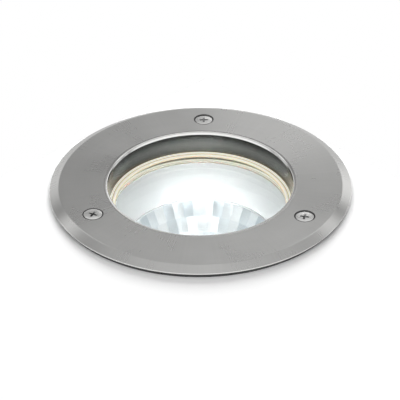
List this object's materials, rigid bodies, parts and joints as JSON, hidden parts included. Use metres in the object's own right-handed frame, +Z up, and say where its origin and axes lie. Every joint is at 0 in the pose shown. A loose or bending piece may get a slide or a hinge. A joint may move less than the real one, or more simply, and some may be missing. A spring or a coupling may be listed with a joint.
{
  "type": "recessed light",
  "caption": "Round recessed ground light with a brushed steel trim ring held by countersunk screws, a sealed sunken glass, a facetted reflector lamp, a ribbed housing and a sleeve.",
  "frame": {"origin": "centre of the sleeve's rim at the finished floor level", "axes": "+Z up along the lamp axis, the side seen in the picture faces -Y, one ring screw lies on +Y"},
  "size_m": [0.185, 0.185, 0.2],
  "materials": {
    "stainless": "circular brushed stainless steel",
    "screw_steel": "bright stainless steel",
    "black_rubber": "matt black rubber",
    "clear_glass": "clear toughened glass",
    "cream_silicone": "cream silicone, slightly glossy",
    "satin_aluminium": "satin anodised",
    "facet_mirror": "bright mirror coated facets",
    "lens_glass": "clear pressed glass",
    "lamp_ceramic": "white ceramic cement",
    "quartz": "clear quartz",
    "filament": "glowing tungsten",
    "nickel_brass": "nickel plated brass",
    "black_glass": "black glass insulator",
    "contact_metal": "bright brass",
    "porcelain": "white glazed porcelain",
    "zinc_steel": "zinc plated steel",
    "terminal_ceramic": "white ceramic",
    "brown_wire": "brown silicone insulation",
    "blue_wire": "blue silicone insulation",
    "earth_wire": "green and yellow insulation",
    "gland_plastic": "black polyamide",
    "cast_housing": "dark grey powder coat on cast aluminium",
    "brass_insert": "turned brass",
    "sleeve_plastic": "black polypropylene"
  },
  "bodies": {
    "sleeve": {"sleeve": "sleeve_plastic"},
    "luminaire": {"housing": "cast_housing", "thread_inserts": "brass_insert", "lampholder_body": "porcelain", "lampholder_shell": "nickel_brass", "lampholder_contact": "contact_metal", "lampholder_bracket": "zinc_steel", "holder_screws": "zinc_steel", "bracket_screws": "zinc_steel", "terminal_block": "terminal_ceramic", "terminal_screws": "contact_metal", "wire_live": "brown_wire", "wire_neutral": "blue_wire", "wire_earth": "earth_wire", "earth_tag": "contact_metal", "earth_screw": "zinc_steel", "gland_locknut": "gland_plastic", "gland_body": "gland_plastic", "gland_nut": "gland_plastic", "gland_seal": "black_rubber", "entry_orings": "black_rubber", "blanking_plug": "gland_plastic"},
    "lamp": {"lamp_reflector": "facet_mirror", "lamp_lens": "lens_glass", "lamp_neck": "lamp_ceramic", "lamp_burner": "quartz", "lamp_filament": "filament", "lamp_cap": "nickel_brass", "lamp_insulator": "black_glass", "lamp_contact": "contact_metal"},
    "cover": {"trim_ring": "stainless", "ring_gasket": "black_rubber", "glass": "clear_glass", "glass_seal": "cream_silicone", "reflector_cone": "satin_aluminium"},
    "seal_back": {"screw_seal_back": "black_rubber"},
    "screw_back": {"ring_screw_back": "screw_steel"},
    "seal_left": {"screw_seal_left": "black_rubber"},
    "screw_left": {"ring_screw_left": "screw_steel"},
    "seal_right": {"screw_seal_right": "black_rubber"},
    "screw_right": {"ring_screw_right": "screw_steel"}
  },
  "joints": [
    {"name": "luminaire_lift", "type": "slide", "parent": "sleeve", "child": "luminaire", "axis": [0, 0, 1], "range_m": [0, 0.22]},
    {"name": "cover_lift", "type": "slide", "parent": "luminaire", "child": "cover", "axis": [0, 0, 1], "range_m": [0, 0.07]},
    {"name": "lamp_turn", "type": "hinge", "parent": "luminaire", "child": "lamp", "pos_m": [0, 0, 0], "axis": [0, 0, 1], "range_deg": [0, 1260]},
    {"name": "screw_back_rise", "type": "slide", "parent": "cover", "child": "seal_back", "axis": [0, 0, 1], "range_m": [0, 0.01]},
    {"name": "screw_back_turn", "type": "hinge", "parent": "seal_back", "child": "screw_back", "pos_m": [0, 0.073, 0], "axis": [0, 0, 1], "range_deg": [0, 3601]},
    {"name": "screw_left_rise", "type": "slide", "parent": "cover", "child": "seal_left", "axis": [0, 0, 1], "range_m": [0, 0.01]},
    {"name": "screw_left_turn", "type": "hinge", "parent": "seal_left", "child": "screw_left", "pos_m": [-0.06322, -0.0365, 0], "axis": [0, 0, 1], "range_deg": [0, 3601]},
    {"name": "screw_right_rise", "type": "slide", "parent": "cover", "child": "seal_right", "axis": [0, 0, 1], "range_m": [0, 0.01]},
    {"name": "screw_right_turn", "type": "hinge", "parent": "seal_right", "child": "screw_right", "pos_m": [0.06322, -0.0365, 0], "axis": [0, 0, 1], "range_deg": [0, 3601]}
  ],
  "couplings": [
    {"joint": "screw_back_turn", "follows": "screw_back_rise", "rad_per_m": 6283.2},
    {"joint": "screw_left_turn", "follows": "screw_left_rise", "rad_per_m": 6283.2},
    {"joint": "screw_right_turn", "follows": "screw_right_rise", "rad_per_m": 6283.2}
  ]
}
